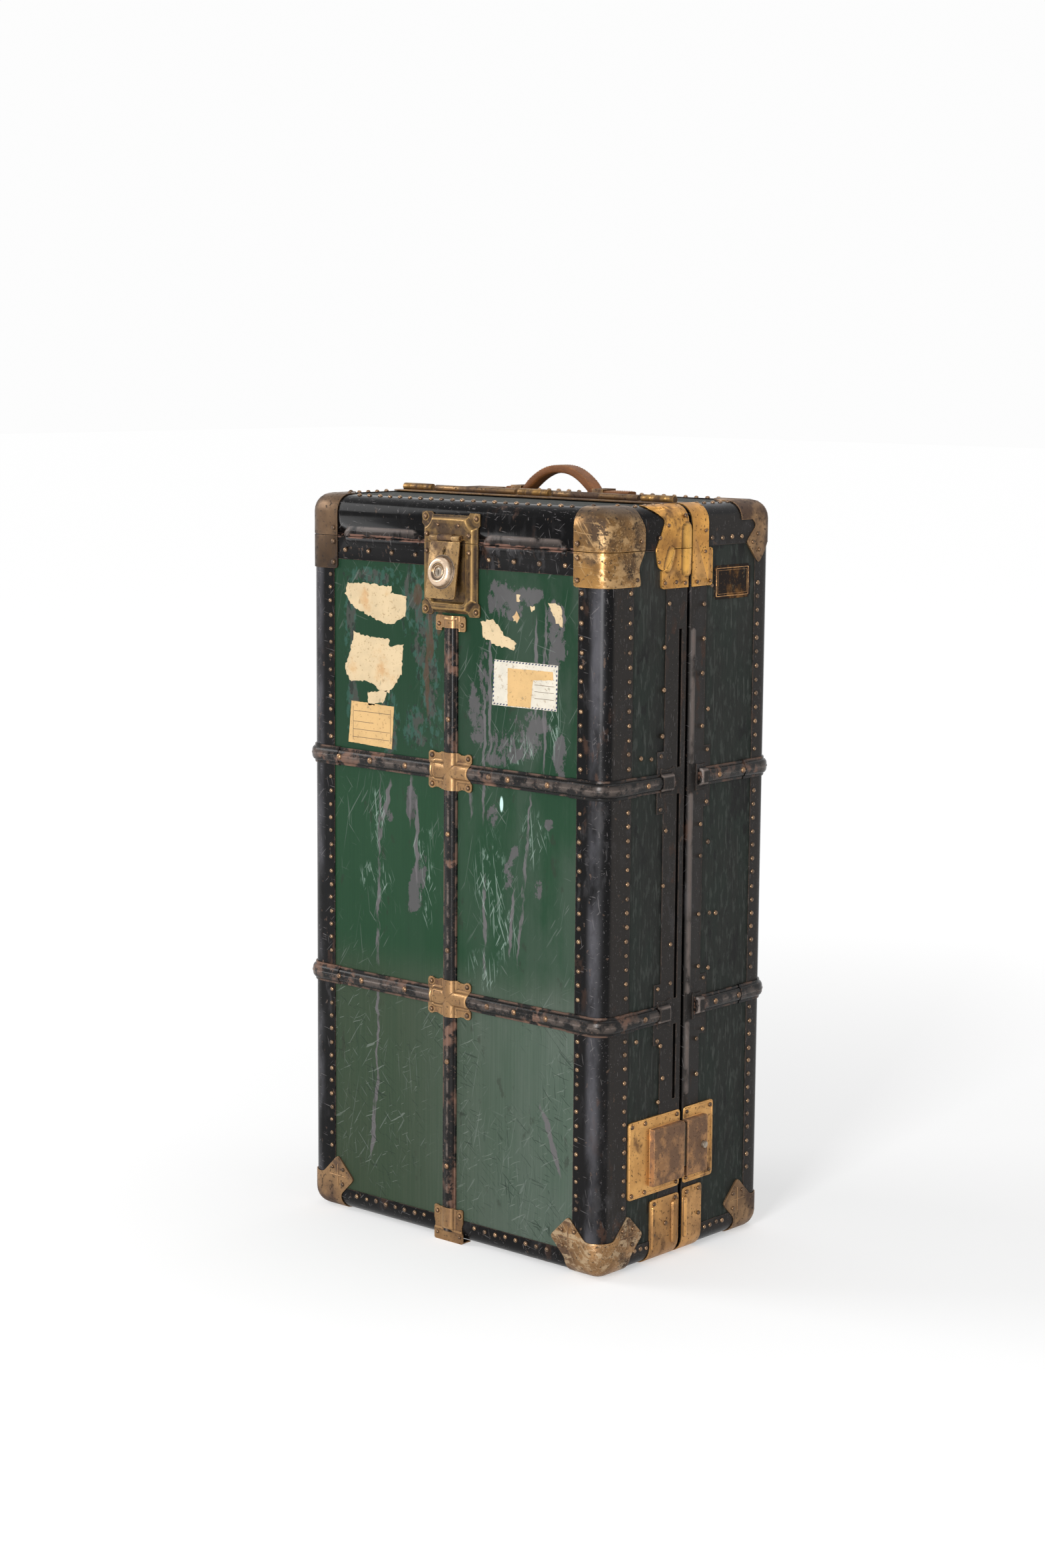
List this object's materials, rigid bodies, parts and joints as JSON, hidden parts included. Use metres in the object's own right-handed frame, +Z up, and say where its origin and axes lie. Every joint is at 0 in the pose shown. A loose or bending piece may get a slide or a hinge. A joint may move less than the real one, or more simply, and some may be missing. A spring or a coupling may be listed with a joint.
{
  "type": "wardrobe trunk",
  "caption": "Upright steamer wardrobe trunk with drawers in the rear shell, hangers in the hinged front shell and a lift top with a hasp lock.",
  "frame": {"origin": "centre of the bounding box's bottom face, on the floor", "axes": "X across the trunk's front to the right, Y from the front shell to the rear shell, Z up"},
  "size_m": [0.5782, 0.3935, 1.0792],
  "materials": {
    "fibre": "dark green vulcanised fibre over plywood, scuffed",
    "steel": "black lacquered sheet steel, worn at the edges",
    "brass": "aged brass with brown tarnish",
    "bronze": "dark patinated brass",
    "nickel": "dull nickel plate",
    "leather": "worn brown leather with stitched edges",
    "wood": "varnished hardwood and ply",
    "lining": "padded cotton"
  },
  "bodies": {
    "rear_shell": {"rear_case": "fibre", "rear_seam_binding": "steel", "rear_edge_binding": "steel", "rear_band_lower": "steel", "rear_band_upper": "steel", "rear_cap_bottom_left": "brass", "rear_cap_top_left": "brass", "rear_cap_bottom_right": "brass", "rear_cap_top_right": "brass", "top_hinge_rear_leaf": "bronze", "side_hinge_rear_leaf": "bronze", "rear_top_plate": "brass", "rear_catch_plate": "brass", "rear_foot_plate": "brass", "handle_strap": "leather", "handle_keeper_left": "bronze", "handle_keeper_right": "bronze", "drawer_rack": "wood"},
    "front_shell": {"front_case": "fibre", "front_edge_binding": "steel", "front_seam_binding": "steel", "front_cap_top_left": "brass", "front_cap_top_right": "brass", "front_cap_bottom_left": "brass", "front_cap_bottom_right": "brass", "front_band_upper": "steel", "front_band_lower": "steel", "center_band_top": "steel", "center_band_middle": "steel", "center_band_bottom": "steel", "cross_clip_upper": "brass", "cross_clip_lower": "brass", "bottom_clip": "brass", "lock_clip": "brass", "lock_plate_lower": "brass", "front_top_plate": "brass", "front_catch_plate": "brass", "catch_tongue": "nickel", "front_foot_plate": "brass", "side_hinge_front_leaf": "bronze", "trolley_rail": "nickel"},
    "lift_top": {"lid_case": "fibre", "lid_binding": "steel", "lid_cap_left": "brass", "lid_cap_right": "brass", "lock_plate_upper": "brass", "lid_top_plate": "brass", "top_hinge_lid_leaf": "bronze", "lid_cushion": "lining"},
    "hasp": {"hasp": "brass"},
    "key_cylinder": {"key_cylinder": "nickel"},
    "catch_button": {"catch_button": "nickel"},
    "trolley": {"trolley_frame": "nickel"},
    "hanger_1": {"hanger_1": "wood"},
    "hanger_2": {"hanger_2": "wood"},
    "hanger_3": {"hanger_3": "wood"},
    "drawer_1": {"drawer_1": "wood"},
    "drawer_2": {"drawer_2": "wood"},
    "drawer_3": {"drawer_3": "wood"},
    "drawer_4": {"drawer_4": "wood"}
  },
  "joints": [
    {"name": "front_shell_hinge", "type": "hinge", "parent": "rear_shell", "child": "front_shell", "pos_m": [-0.28365, 0.00491, 0.4968], "axis": [0, 0, -1], "range_deg": [0, 135]},
    {"name": "lift_top_hinge", "type": "hinge", "parent": "rear_shell", "child": "lift_top", "pos_m": [-0.00185, 0.00491, 1.0426], "axis": [-1, 0, 0], "range_deg": [0, 105]},
    {"name": "hasp_hinge", "type": "hinge", "parent": "lift_top", "child": "hasp", "pos_m": [-0.00185, -0.17709, 0.9873], "axis": [-1, 0, 0], "range_deg": [-7, 100]},
    {"name": "key_turn", "type": "hinge", "parent": "hasp", "child": "key_cylinder", "pos_m": [-0.00185, -0.18324, 0.9407], "axis": [0, -0.9903, 0.1392], "range_deg": [0, 90]},
    {"name": "catch_button_press", "type": "slide", "parent": "rear_shell", "child": "catch_button", "axis": [-1, 0, 0], "range_m": [0, 0.004], "stiffness_N_per_m": 400},
    {"name": "drawer_1_slide", "type": "slide", "parent": "rear_shell", "child": "drawer_1", "axis": [0, -1, 0], "range_m": [0, 0.14]},
    {"name": "drawer_2_slide", "type": "slide", "parent": "rear_shell", "child": "drawer_2", "axis": [0, -1, 0], "range_m": [0, 0.14]},
    {"name": "drawer_3_slide", "type": "slide", "parent": "rear_shell", "child": "drawer_3", "axis": [0, -1, 0], "range_m": [0, 0.14]},
    {"name": "drawer_4_slide", "type": "slide", "parent": "rear_shell", "child": "drawer_4", "axis": [0, -1, 0], "range_m": [0, 0.14]},
    {"name": "trolley_slide", "type": "slide", "parent": "front_shell", "child": "trolley", "axis": [0, 1, 0], "range_m": [0, 0.1]},
    {"name": "hanger_1_swing", "type": "hinge", "parent": "trolley", "child": "hanger_1", "pos_m": [-0.00185, -0.11909, 0.8767], "axis": [0, 1, 0], "range_deg": [-7, 7]},
    {"name": "hanger_2_swing", "type": "hinge", "parent": "trolley", "child": "hanger_2", "pos_m": [-0.00185, -0.08109, 0.8767], "axis": [0, 1, 0], "range_deg": [-7, 7]},
    {"name": "hanger_3_swing", "type": "hinge", "parent": "trolley", "child": "hanger_3", "pos_m": [-0.00185, -0.04309, 0.8767], "axis": [0, 1, 0], "range_deg": [-7, 7]}
  ]
}
